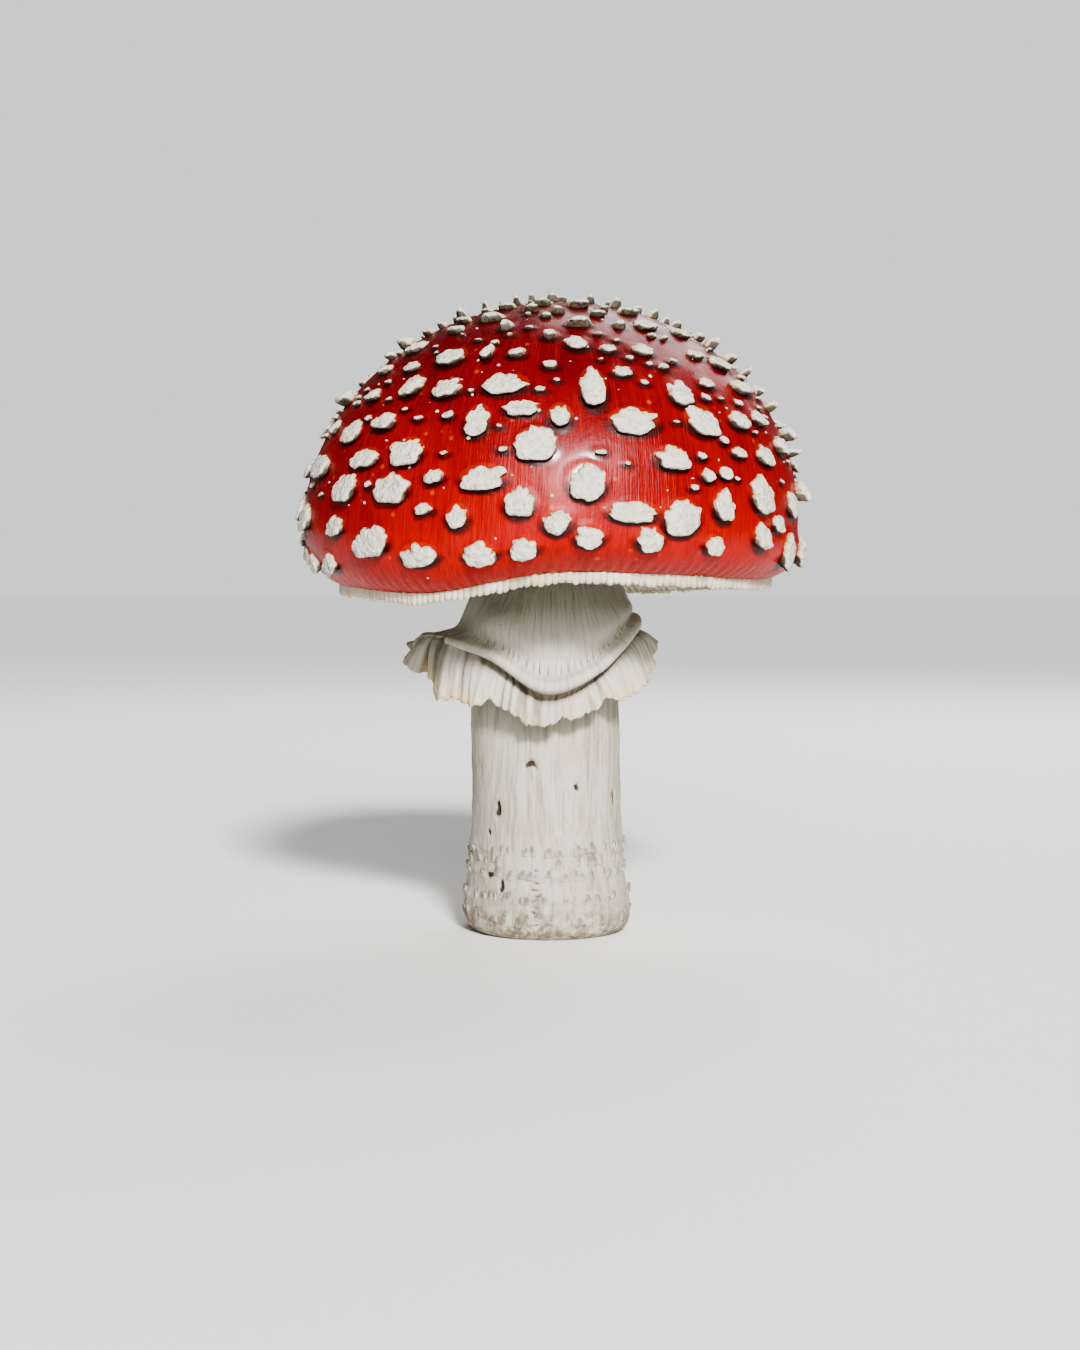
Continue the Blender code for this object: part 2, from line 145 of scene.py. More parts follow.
# Pits and slits: azimuth in degrees and height in mm, then half width, half height and depth in mm.
PITS = [
    (-39, 24.6, 0.8, 2.2, 0.9), (-41, 16.2, 0.9, 0.8, 0.5), (-46, 12.6, 1.1, 1.0, 0.5),
    (-35, 10.4, 1.4, 1.2, 0.8), (-11, 34.4, 1.2, 0.7, 0.8), (-47, 20.4, 0.6, 0.9, 0.4),
    (25, 29.6, 0.5, 0.9, 0.7), (64, 27.0, 0.6, 1.5, 0.5), (118, 22.0, 0.7, 1.7, 0.6),
    (170, 14.0, 1.0, 0.9, 0.5), (-140, 30.0, 0.6, 1.4, 0.6), (-95, 13.0, 0.9, 0.8, 0.5),
]
# A seam of notches runs down the front of the base.
PITS += [(-9 + 2 * (k % 2), 3.4 + 1.15 * k, 1.2, 0.42, 0.22) for k in range(10)]
# How deep a pit is, in mm, where its painted shade is fully dark, and how its outline is torn.
PIT_DARK = 0.4
PIT_TORN = 1.1
PIT_WAVE = 1.9 * MM
# The rows of small upright scales above the foot: height and how many go round.
SCALE_ROWS = [(17.3 * MM, 52), (15.0 * MM, 48), (12.7 * MM, 56), (8.0 * MM, 58), (4.2 * MM, 56)]
SCALE_WIDTH = 1.7 * MM
SCALE_HEIGHT = 2.2 * MM
SCALE_ROOT = 0.3 * MM
SCALE_LEAN = 0.42 * MM
SCALES_KEPT = 0.62
# How far a scale strays and turns, and the least and most shares of its width and height.
SCALE_STRAY = 0.05
SCALE_SHIFT = 0.6 * MM
SCALE_TURN = 0.3
SCALE_WIDTHS = (0.6, 1.3)
SCALE_HEIGHTS = (0.6, 1.2)

# The ring: from its root it bulges to a pouch, creases, rolls over a crest, tucks in and flares to its torn
# edge. The lists go round once, from the front to the right.
RING_ROOT = mm(15.2, 66.5)
RING_CREST_R = mm(20.9, 20.5, 19.0, 17.0, 18.4, 20.2, 21.0, 21.8, 23.2, 23.8, 21.6, 20.6)
RING_CREST_Z = mm(49.6, 53.2, 60.2, 62.6, 61.6, 58.4, 56.8, 57.2, 58.4, 58.8, 58.2, 55.6)
RING_EDGE_R = mm(20.8, 21.3, 21.6, 20.8, 22.2, 23.6, 24.6, 25.2, 25.4, 25.1, 23.5, 21.4)
RING_EDGE_Z = mm(43.3, 46.2, 50.4, 56.0, 55.4, 52.6, 50.0, 50.6, 53.4, 55.8, 48.6, 46.2)
# How far out and down from the crest the ring tucks.
RING_TUCK_OUT = mm(-2.1, -1.8, -0.4, 2.0, 1.8, 1.2, 1.2, 1.4, 1.4, 1.4, 0.8, -1.1)
RING_TUCK_DROP = 2.8 * MM
# The pouch and the crease, as shares of the way out from the root to the crest and of the way back up.
# On the left a flap sweeps out instead: its azimuth and half width in degrees, and its own shares.
RING_POUCH = (0.66, 0.54)
RING_CREASE = (0.66, 0.22)
FLAP = (-88.0, 62.0)
FLAP_POUCH = (0.24, 0.30)
FLAP_CREASE = (0.56, 0.10)
# Teeth and lobes of the torn edge: azimuth and half width in degrees, then reach and drop in mm.
RING_TEETH = [
    (-104, 10, 2.8, -1.6), (-80, 10, 3.0, 0.2), (-56, 7, 0.8, 1.2), (-44, 7, 0.3, 1.3), (-5, 9, 0.0, 2.2),
    (18, 7, 0.0, 1.4), (42, 7, 0.5, 1.0), (58, 8, 1.6, 0.8), (76, 7, 1.2, 0.2), (96, 9, 1.6, -0.8),
    (128, 8, 0.8, 0.8), (163, 9, 1.0, 1.2), (-166, 8, 0.6, 0.8), (-140, 9, 1.2, 0.6),
]
TOOTH = 0.45 * MM
# The sheet's thickness, and its share at the torn edge, what that gains away from it and on the crest.
RING_THICK = 1.6 * MM
RING_SHARES = (0.22, 0.25, 0.45)
RING_TOP = mm(13.4, 70.5)
RING_COLUMNS = 580
RING_ROWS = 72
# Where the pouch, the crest and the tuck lie along the ring.
POUCH_AT, CREST_AT, TUCK_AT = 2 / 6, 4 / 6, 5 / 6
CREST_HALF = 0.09
# The ring's relief: the roll of the crest, the groove under it, the creases above it and the pleats below
# it, the long folds of the flap and a slow wave of the whole sheet.
ROLL = 0.8 * MM
GROOVE = 1.0 * MM
CREASES = 88
CREASE_DEEP = 0.55 * MM
PLEAT_WAVES = 12.0
PLEAT = 0.5 * MM
FOLD_WAVES = 7.5
FOLD = 0.9 * MM
WRINKLE = 0.7 * MM
RAGGED_EDGE = 0.7 * MM

# The warts seen on the front: azimuth and polar angle in degrees, then width and length in mm.
FRONT_WARTS = [
    (37, 33, 5.6, 4.4), (6, 43, 4.4, 4.8), (26, 45, 4.8, 4.0), (-33, 47, 6.2, 5.6), (58, 47, 6.2, 4.6),
    (-13, 57, 8.4, 5.4), (-8, 64, 5.8, 3.4), (-40, 56, 4.2, 5.6), (48, 45, 4.8, 2.8), (60, 55, 6.8, 3.8),
    (9, 58, 5.0, 9.6), (32, 59, 5.2, 5.8), (1, 66, 4.4, 5.4), (18, 67, 9.6, 6.0), (-18, 67, 4.8, 6.6),
    (36, 66, 7.6, 6.8), (49, 65, 5.6, 4.6), (-44, 66, 5.4, 3.8), (-56, 68, 6.2, 4.6), (-4, 73, 7.4, 6.8),
    (-34, 74, 6.8, 5.4), (-47, 75, 7.8, 4.0), (-66, 76, 6.8, 5.2), (26, 76, 6.8, 4.8), (56, 74, 5.6, 4.2),
    (-15, 81, 8.4, 5.0), (7, 82, 7.0, 6.8), (-52, 82, 6.6, 5.2), (-37, 83, 8.0, 5.2), (43, 55, 4.2, 3.0),
    (52, 84, 6.8, 6.2), (39, 87, 4.8, 6.0), (-7, 87, 5.2, 5.4), (17, 89, 9.6, 4.2), (28, 90, 8.0, 6.8),
    (1, 91, 5.2, 4.4), (-20, 90, 4.2, 4.6), (-55, 91, 5.6, 4.0), (-42, 96, 8.8, 5.0), (52, 95, 5.0, 5.2),
    (8, 97, 5.2, 4.2), (21, 98, 5.2, 4.4), (-29, 102, 7.8, 4.4), (67, 103, 5.4, 7.0), (-15, 104, 6.2, 3.8),
    (-20, 35, 2.8, 3.6), (-3, 40, 3.0, 3.0), (-12, 47, 3.4, 2.6), (15, 45, 3.4, 3.2), (17, 53, 3.8, 3.0),
    (-2, 51, 2.6, 2.6), (-21, 46, 2.2, 4.4), (8, 34, 5.0, 2.8), (24, 34, 2.9, 3.2), (59, 64, 4.6, 3.4),
    (40, 79, 3.1, 2.4), (35, 80, 3.2, 2.4),
]
# The warts on the cap's outline, with their height in mm and their top's share of their width.
OUTLINE_WARTS = [
    (-61, 25, 3.6, 3.0, 2.6, 0.3), (-66, 18, 2.4, 2.2, 2.4, 0.4), (-42, 14, 2.0, 2.0, 2.2, 0.3),
    (-41, 9, 2.2, 2.0, 2.2, 0.3), (-9, 10, 3.0, 2.6, 2.0, 0.3), (34, 12, 2.6, 2.2, 2.0, 0.3),
    (48, 17, 3.0, 2.4, 2.1, 0.5), (72, 23, 3.4, 2.6, 2.2, 0.4), (65, 30, 3.0, 2.6, 1.8, 0.4),
    (79, 34, 4.0, 3.2, 1.6, 0.8), (70, 39, 3.0, 2.8, 2.6, 0.8), (83, 43, 3.6, 2.8, 2.3, 0.8),
    (75, 49, 3.2, 2.4, 2.8, 0.35), (87, 53, 4.0, 3.2, 1.7, 0.8), (76, 59, 3.2, 2.8, 2.4, 0.5),
    (85, 66, 3.6, 4.0, 2.6, 0.9), (76, 72, 2.6, 2.2, 2.7, 0.5), (79, 82, 5.4, 3.8, 2.6, 0.9),
    (-76, 28, 3.0, 2.2, 1.3, 0.7), (-68, 33, 3.0, 2.2, 1.3, 0.6), (-81, 37, 4.4, 3.4, 2.2, 0.8),
    (-75, 57, 6.0, 3.8, 2.3, 0.85), (-85, 64, 4.0, 5.0, 1.0, 0.9), (-73, 75, 4.4, 3.6, 1.0, 0.9),
    (-84, 86, 4.0, 5.2, 1.4, 0.9),
]
# The others are drawn: least and most width and the gap between them, on the crown and lower down.
WART_SEED = 7
WART_TRIES = 5500
WART_LOWEST = 109.0
CROWN_POLAR = 55.0
CROWN_WARTS = mm(2.3, 4.2, 1.2)
LOWER_WARTS = mm(3.2, 7.0, 2.3)
WART_SQUAT = (0.62, 0.95)
# The specks between them, and their height as a share of their width.
SPECK_TRIES = 800
SPECK_LOWEST = 84.0
CROWN_SPECKS = mm(1.3, 2.4, 0.45)
LOWER_SPECKS = mm(1.1, 2.1, 0.9)
SPECK_FLATNESS = 0.5
# A wart's height and its top's share of its width. Some on the crown are sharper.
WART_HEIGHT = mm(0.9, 1.6)
WART_TOP = (0.74, 0.92)
SPIKE_RANGE = 25.0
SPIKE_EXTRA = 0.6 * MM
SPIKE_TAPER = 0.5
WART_UNEVEN = (0.87, 1.15)
WART_SIDES = 6
SMALL_WART = 4.4 * MM
SPECK = 2.4 * MM
WART_ROOT = 1.1 * MM
# How far a wart's top tips and slides downhill, as shares of its height and of its length.
TIP_MIDDLE = 0.85
TIP_SLOPE = 0.5
TIP_SLIDE = 0.1
# The fine wart: rings of (share of its outline, share of its height) from its root to its top.
WART_RINGS = [
    (0.92, -0.6), (0.95, 0.0), (1.02, 0.3), (1.06, 0.6), (1.04, 0.85), (0.95, 1.02), (0.8, 1.1), (0.62, 1.14),
    (0.42, 1.17), (0.2, 1.2),
]
# The columns round a wart that is wider than this.
WART_COLUMNS = [(SMALL_WART, 34), (SPECK, 22), (0.0, 12)]
WART_UNDERCUT = 0.1
WART_CRUMBLE = 0.2 * MM
WART_GRAIN = 1.1 * MM
# How ragged its edge is below and above, and how square it is below.
WART_RAGGED = (0.05, 0.38)
WART_SQUARE = 3.0


def between(a, b, c, d, t):
    """A smooth curve through four values, read between the second and the third."""
    return b + t / 2 * (c - a + t * (2 * a - 5 * b + 4 * c - d + t * (3 * (b - c) + d - a)))


def around(values, azimuth):
    """A smooth closed curve through values spread evenly round the stem, the first at the front."""
    place = azimuth / tau % 1 * len(values)
    k = int(place)
    return between(*(values[(k + i) % len(values)] for i in (-1, 0, 1, 2)), place - k)


def degrees_off(azimuth, centre):
    """How many degrees an azimuth lies to the right of a centre given in degrees."""
    return (degrees(azimuth) - centre + 180) % 360 - 180


def smooth(t):
    """0 below 0, 1 above 1, and a soft step between them."""
    t = min(1.0, max(0.0, t))
    return t * t * (3 - 2 * t)


def grown(azimuth, radius, z):
    """Where a point of the turned mushroom ends up, leaned and with its margin waved."""
    low = smooth((CAP_WIDEST_Z - z) / (CAP_WIDEST_Z - MARGIN_Z)) * smooth(radius / CAP_RADIUS)
    nothing, full = WAVE_HEIGHTS
    low *= smooth((z - nothing) / (full - nothing))
    if low > 0:
        z += low * around(MARGIN_RISE, azimuth)
        radius += low * around(MARGIN_REACH, azimuth)
    lean = CAP_LEAN * max(0.0, z - LEAN_START) / (CAP_WIDEST_Z + DOME_HEIGHT - LEAN_START)
    bow = STEM_BOW * sin(pi * min(1.0, z / CAP_WIDEST_Z))
    return Vector((radius * sin(azimuth) + lean + bow, -radius * cos(azimuth), z))


def skin_profile(polar):
    """Radius and height of the cap's skin at a polar angle in degrees."""
    angle = radians(polar)
    if polar <= 90:
        return CAP_RADIUS * sin(angle), CAP_WIDEST_Z + DOME_HEIGHT * cos(angle)
    down = angle - pi / 2
    share = 2 / RIM_POWER
    return CAP_RADIUS * cos(down) ** share, CAP_WIDEST_Z - RIM_HEIGHT * sin(down) ** share


def skin_point(azimuth, polar):
    return grown(azimuth, *skin_profile(polar))


def skin_frame(azimuth, polar):
    """A frame on the skin: X runs round the cap, Y runs up to the crown and Z points out."""
    step = 0.5
    here = skin_point(azimuth, polar)
    across = skin_point(azimuth + radians(step), polar) - skin_point(azimuth - radians(step), polar)
    up = skin_point(azimuth, polar - step) - skin_point(azimuth, polar + step)
    out = across.cross(up).normalized()
    across.normalize()
    frame_here = Matrix((across, out.cross(across), out)).transposed().to_4x4()
    frame_here.translation = here
    return frame_here


def choose_warts():
    """The known warts, then seeded ones and small specks wherever the cap has room."""
    draw = random.Random(WART_SEED)
    warts = []

    def add(azimuth, polar, width, length, height=None, top=None):
        sharp = smooth((CROWN_POLAR - polar) / SPIKE_RANGE) * draw.random() ** 2
        warts.append(SimpleNamespace(
            azimuth=azimuth, polar=polar, width=width, length=length, place=skin_point(azimuth, polar),
            height=height or draw.uniform(*WART_HEIGHT) + sharp * SPIKE_EXTRA,
            top=top or draw.uniform(*WART_TOP) - sharp * SPIKE_TAPER,
            turn=draw.uniform(0, tau),
            uneven=[draw.uniform(*WART_UNEVEN) for _ in range(WART_SIDES)],
        ))

    for azimuth, polar, width, length in FRONT_WARTS:
        add(radians(azimuth), polar, width * MM, length * MM)
    for azimuth, polar, width, length, height, top in OUTLINE_WARTS:
        add(radians(azimuth), polar, width * MM, length * MM, height * MM, top)

    def scatter(tries, lowest, on_crown, lower_down, flatness=None):
        least_cos = cos(radians(lowest))
        for _ in range(tries):
            azimuth = draw.uniform(0, tau)
            polar = degrees(acos(draw.uniform(least_cos, 1.0)))
            low = smooth(polar / CROWN_POLAR)
            least, most, gap = (a + low * (b - a) for a, b in zip(on_crown, lower_down))
            width = draw.uniform(least, most)
            length = width * draw.uniform(*WART_SQUAT)
            place = skin_point(azimuth, polar)
            if all((place - wart.place).length > (width + wart.width) / 2 + gap for wart in warts):
                add(azimuth, polar, width, length, flatness and flatness * width)

    scatter(WART_TRIES, WART_LOWEST, CROWN_WARTS, LOWER_WARTS)
    scatter(SPECK_TRIES, SPECK_LOWEST, CROWN_SPECKS, LOWER_SPECKS, SPECK_FLATNESS)
    return warts


def arithmetic(operation):
    """A method that adds the Math node of an operation between two numbers."""
    return lambda left, right: left.math(operation, left, right)


class Number:
    """A number that varies over a surface. Arithmetic on it adds Math nodes to its tree."""

    def __init__(self, tree, socket):
        self.tree = tree
        self.socket = socket

    def math(self, operation, *values):
        return self.tree.number(0, "ShaderNodeMath", dict(enumerate(values)), operation=operation)

    __add__ = __radd__ = arithmetic("ADD")
    __mul__ = __rmul__ = arithmetic("MULTIPLY")
    __sub__ = arithmetic("SUBTRACT")
    __truediv__ = arithmetic("DIVIDE")
    __pow__ = arithmetic("POWER")

    def __rsub__(self, other):
        return self.math("SUBTRACT", other, self)

    def sine(self):
        return self.math("SINE", self)

    def step(self, low, high):
        """0 at low and 1 at high, on whichever side of low that lies."""
        sockets = {"Value": self, "From Min": low, "From Max": high}
        return self.tree.number("Result", "ShaderNodeMapRange", sockets, interpolation_type="SMOOTHSTEP")


class Tree:
    """A node tree of a material, of the world or of geometry."""

    def __init__(self, nodes):
        self.nodes = nodes

    def node(self, kind, sockets=None, **settings):
        made = self.nodes.nodes.new(kind)
        for name, value in settings.items():
            setattr(made, name, value)
        for key, value in (sockets or {}).items():
            self.feed(made.inputs[key], value)
        return made

    def feed(self, socket, value):
        if isinstance(value, Number):
            value = value.socket
        if isinstance(value, bpy.types.NodeSocket):
            self.nodes.links.new(value, socket)
        else:
            socket.default_value = value

    def number(self, output, kind, sockets=None, **settings):
        return Number(self, self.node(kind, sockets, **settings).outputs[output])

    def split(self, vector):
        """The three numbers of a vector."""
        made = self.node("ShaderNodeSeparateXYZ", {0: vector})
        return [Number(self, socket) for socket in made.outputs]

    def vector(self, x, y, z):
        return self.node("ShaderNodeCombineXYZ", {0: x, 1: y, 2: z}).outputs[0]


class Look(Tree):
    """A material round one Principled shader. Its colours are laid one over the other, by shares."""

    def __init__(self, name, colour, constants):
        self.material = bpy.data.materials.new(name)
        self.material.use_nodes = True
        super().__init__(self.material.node_tree)
        self.shader = self.nodes.nodes["Principled BSDF"]
        self.place = self.node("ShaderNodeTexCoord").outputs["Object"]
        self.colour = (*colour, 1.0)
        for socket, value in {"Base Color": self.colour, **constants}.items():
            self.shader.inputs[socket].default_value = value

    def attribute(self, name, output="Fac"):
        return self.number(output, "ShaderNodeAttribute", attribute_name=name)

    def noise(self, scale, detail=3.0, roughness=0.6, distortion=0.0, vector=None):
        sockets = {"Vector": vector or self.place, "Scale": scale, "Detail": detail, "Roughness": roughness}
        return self.number(0, "ShaderNodeTexNoise", {**sockets, "Distortion": distortion})

    def fibres(self, vector, across, along, scale=1.0, *texture):
        """Noise that is finer across the vector's third axis than along it."""
        sockets = {0: vector, 1: (across, across, along)}
        drawn = self.node("ShaderNodeVectorMath", sockets, operation="MULTIPLY")
        return self.noise(scale, *texture, vector=drawn.outputs[0])

    def cells(self, scale):
        return self.number("Distance", "ShaderNodeTexVoronoi", {"Vector": self.place, "Scale": scale})

    def lay(self, share, colour):
        sockets = {0: share, 6: self.colour, 7: (*colour, 1.0)}
        self.colour = self.node("ShaderNodeMix", sockets, data_type="RGBA").outputs[2]

    def finish(self, roughness, reliefs):
        """Feeds the shader. reliefs lists (height, depth): each is one Bump over the last."""
        self.feed(self.shader.inputs["Base Color"], self.colour)
        self.feed(self.shader.inputs["Roughness"], roughness)
        normal = None
        for height, depth in reliefs:
            sockets = {"Height": height, "Distance": depth}
            if normal:
                sockets["Normal"] = normal
            normal = self.node("ShaderNodeBump", sockets).outputs[0]
        self.feed(self.shader.inputs["Normal"], normal)
        return self.material


def put(name, data, place=(0, 0, 0), **settings):
    """Adds a mesh, a light or a camera to the scene."""
    for setting, value in settings.items():
        setattr(data, setting, value)
    made = bpy.data.objects.new(name, data)
    made.location = place
    bpy.context.scene.collection.objects.link(made)
    return made


def evaluated(made):
    """Applies the object's modifiers to its mesh."""
    bpy.context.view_layer.update()
    mesh = bpy.data.meshes.new_from_object(made.evaluated_get(bpy.context.evaluated_depsgraph_get()))
    made.modifiers.clear()
    made.data = mesh


def turned(name, profile, steps):
    """Turns a profile of (radius, height) points round the Z axis, as a plain mesh."""
    mesh = bpy.data.meshes.new(name)
    mesh.from_pydata([(r, 0, z) for r, z in profile], [(k, k + 1) for k in range(len(profile) - 1)], [])
    made = put(name, mesh)
    screw = made.modifiers.new("turn", "SCREW")
    screw.steps = steps
    screw.use_merge_vertices = True
    screw.merge_threshold = 0.001 * MM
    evaluated(made)
    return made


def reshape(made, move):
    """Moves every vertex to move(azimuth, radius, z)."""
    for vert in made.data.vertices:
        x, y, z = vert.co
        vert.co = move(atan2(x, -y), hypot(x, y), z)


def store(made, name, values):
    """Keeps a number, or a vector, at each vertex for the material to read."""
    kind, field = ("FLOAT_VECTOR", "vector") if isinstance(values[0], Vector) else ("FLOAT", "value")
    kept = made.data.attributes.new(name, kind, "POINT")
    for item, value in zip(kept.data, values):
        setattr(item, field, value)


def finished(made, look, node):
    """Gives a piece its material and the solid that it replaces."""
    made.data.materials.clear()
    made.data.materials.append(look)
    made.data.shade_smooth()
    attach(made, "root")
    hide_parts(node)


def rough(place, coarse, fine, share):
    """Noise in two sizes of lump, the finer one by a share."""
    return noise.noise(place * coarse) + share * noise.noise(place * fine)


def rim(azimuth, up=0.0, radius=1.0):
    """A place on a cylinder: noise that is read there closes on the way round."""
    return Vector((radius * sin(azimuth), radius * cos(azimuth), up))


def shaken(place, wave):
    """A vector of soft noise at a place, with lumps about one wave apart."""
    return Vector([noise.noise(place / wave + Vector((shift, 0, 0))) for shift in (0.0, 37.4, 71.8)])


class WartMap:
    """Tells how near a point of the skin lies to a wart."""

    def __init__(self, warts):
        self.warts = []
        self.tree = KDTree(len(warts))
        for k, wart in enumerate(warts):
            inward = skin_frame(wart.azimuth, wart.polar).inverted()
            self.warts.append((inward, wart.width / 2, wart.length / 2))
            self.tree.insert(wart.place, k)
        self.tree.balance()

    def touch(self, point):
        """How near the point is to a wart, 1 at its edge, and how much it lies in the painted shadow just
        under one.
        """
        near = under = 0.0
        for _, k, _ in self.tree.find_n(point, NEIGHBOURS):
            inward, width, length = self.warts[k]
            x, y, _ = inward @ point
            outside = (hypot(x / width, y / length) - 1) * (width + length) / 2
            near = max(near, smooth(1 - outside / COLLAR_WIDTH))
            under = max(under, smooth((PAINTED_SHADOW_WIDTH - outside) / PAINTED_SHADOW_FADE) * smooth(0.4 - 1.2 * y / length))
        return near, under


def polar_of(radius, z):
    """The polar angle of a point of the turned skin, or None for one of the hollow beneath."""
    if z >= CAP_WIDEST_Z:
        polar = degrees(acos(min(1.0, (z - CAP_WIDEST_Z) / DOME_HEIGHT)))
    else:
        down = min(1.0, ((CAP_WIDEST_Z - z) / RIM_HEIGHT) ** (RIM_POWER / 2))
        polar = 90 + degrees(asin(down))
    return polar if abs(skin_profile(polar)[0] - radius) < 0.05 * MM else None


def make_cap_skin(warts, look):
    """The skin of the cap, closed below over the hollow that the gills fill."""
    outer = [skin_profile(MARGIN_POLAR * k / SKIN_ROWS) for k in range(SKIN_ROWS + 1)]
    outer[0] = (0.0, outer[0][1])
    margin_radius, margin_z = outer[-1]
    lip = [(margin_radius - LIP / 2, margin_z - LIP_ROUND), (margin_radius - LIP, margin_z)]
    skin = turned("cap_skin", outer + lip + ROOF, SKIN_COLUMNS)
    places = []

    def grow(azimuth, radius, z):
        places.append((azimuth, polar_of(radius, z)))
        return grown(azimuth, radius, z)

    reshape(skin, grow)
    wart_map = WartMap(warts)
    normals = [vert.normal.copy() for vert in skin.data.vertices]
    first, last = GROOVE_POLAR
    read = []
    for vert, (azimuth, polar), normal in zip(skin.data.vertices, places, normals):
        near = under = 0.0
        if polar is not None:
            near, under = wart_map.touch(vert.co)
            groove = smooth((polar - first) / (last - first)) * sin(MARGIN_GROOVES * azimuth)
            swell = rough(vert.co, 1 / SWELL_WAVE, 2 / SWELL_WAVE, 0.5)
            vert.co += normal * (SWELL * swell + COLLAR * near + MARGIN_GROOVE * groove)
        down = (polar or 0.0) / MARGIN_POLAR
        # under is how much of the painted shadow below a wart falls here.
        read.append((near, under, down, rim(azimuth, down)))
    for name, values in zip(("near_wart", "painted_wart_shadow", "down", "strand"), zip(*read)):
        store(skin, name, values)
    finished(skin, look, "cap")
    return skin


def wart_outline(wart, angle):
    """The wart's edge at an angle, as a share of its width or length: square below, ragged above."""
    sides = WART_SIDES if wart.width > SMALL_WART else WART_SIDES - 1
    place = (angle - wart.turn) / tau * sides - sides / 4 % 1
    corner = around(wart.uneven[:sides], place / sides * tau)
    flat = 1 - 0.04 * (1 - cos(tau * place))
    upper = smooth(0.5 + 1.2 * sin(angle))
    power = WART_SQUARE * wart.uneven[0] ** 3
    square = (abs(cos(angle)) ** power + abs(sin(angle)) ** power) ** (-1 / power)
    seed = Vector((wart.turn * 9, wart.azimuth * 5, wart.polar))
    side = Vector((cos(angle), sin(angle), 0))
    ragged = noise.noise(side * 1.6 + seed) + 0.8 * noise.noise(side * 4.1 + seed)
    least, most = WART_RAGGED
    torn = 1 + (least + (most - least) * upper) * ragged
    return 0.5 * corner * flat * (square + upper * (1 - square)) * torn


def add_wart(shape, wart):
    """Adds one wart to a mesh: a felted patch, thick and undercut along its lower edge."""
    # How high up the wart a vertex lies, and how much it lies on the lower wall, which is painted dark as
    # shade.
    rise, painted_wall_shade = shape.verts.layers.float.values()
    columns = next(count for least, count in WART_COLUMNS if wart.width > least)
    here = skin_frame(wart.azimuth, wart.polar)
    rings = []
    for share, height in WART_RINGS:
        ring = []
        taper = share * (1 - max(0.0, height) * (1 - wart.top))
        for k in range(columns):
            angle = tau * k / columns
            lower = max(0.0, -sin(angle))
            radius = wart_outline(wart, angle) * taper * (1 - WART_UNDERCUT * lower * smooth(1 - height * 2))
            x = radius * cos(angle) * wart.width
            y = radius * sin(angle) * wart.length
            z = height * WART_ROOT
            if height > 0:
                z = height * wart.height * (TIP_MIDDLE - TIP_SLOPE * y / wart.length)
                y -= TIP_SLIDE * wart.length * height
            point = here @ Vector((x, y, z))
            crumble = shaken(point, WART_GRAIN) + 0.6 * shaken(point, WART_GRAIN / 2.3)
            vert = shape.verts.new(point + crumble * WART_CRUMBLE * smooth(height * 3))
            vert[rise] = max(0.0, height)
            vert[painted_wall_shade] = smooth(1.5 * lower + 0.25) * smooth((0.95 - height) / 0.3)
            ring.append(vert)
        rings.append(ring)
    for low, high in zip(rings, rings[1:]):
        for k in range(columns):
            shape.faces.new((low[k - 1], low[k], high[k], high[k - 1]))
    for ring in (rings[0][::-1], rings[-1]):
        middle = shape.verts.new(sum((vert.co for vert in ring), Vector()) / columns)
        middle[rise] = 1.0 if ring is rings[-1] else 0.0
        for k in range(columns):
            shape.faces.new((ring[k - 1], ring[k], middle))


def make_warts(warts, look):
    shape = bmesh.new()
    for name in ("rise", "painted_wall_shade"):
        shape.verts.layers.float.new(name)
    for wart in warts:
        add_wart(shape, wart)
    mesh = bpy.data.meshes.new("warts")
    shape.to_mesh(mesh)
    shape.free()
    finished(put("warts", mesh), look, "cap")


def flap_share(azimuth):
    """1 in the middle of the flap on the left, down to 0 beside it."""
    centre, half = FLAP
    return smooth(1.4 - 1.4 * abs(degrees_off(azimuth, centre)) / half)


def ring_section(azimuth):
    """(radius, height) of the ring's top, root, pouch, crease, crest, tuck and edge at an azimuth."""
    root_r, root_z = RING_ROOT
    crest_r, crest_z = around(RING_CREST_R, azimuth), around(RING_CREST_Z, azimuth)
    flap = flap_share(azimuth)

    def above_crest(shares, flap_shares):
        out, up = (a + flap * (b - a) for a, b in zip(shares, flap_shares))
        return root_r + out * (crest_r - root_r), crest_z + up * (root_z - crest_z)

    tuck = crest_r + around(RING_TUCK_OUT, azimuth), crest_z - RING_TUCK_DROP * (1 - 0.6 * flap)
    ragged = TOOTH * (sin(17 * azimuth) + 0.7 * sin(29 * azimuth + 1))
    edge_r, edge_z = around(RING_EDGE_R, azimuth) + 0.5 * ragged, around(RING_EDGE_Z, azimuth) - ragged
    for centre, half, reach, drop in RING_TEETH:
        tooth = max(0.0, 1 - abs(degrees_off(azimuth, centre)) / half)
        edge_r += tooth * reach * MM
        edge_z -= tooth * drop * MM
    pouch, crease = above_crest(RING_POUCH, FLAP_POUCH), above_crest(RING_CREASE, FLAP_CREASE)
    return [RING_TOP, RING_ROOT, pouch, crease, (crest_r, crest_z), tuck, (edge_r, edge_z)]


def crest_share(along):
    """1 on the ring's crest, down to 0 above and below it."""
    return smooth(1 - abs(along - CREST_AT) / CREST_HALF)


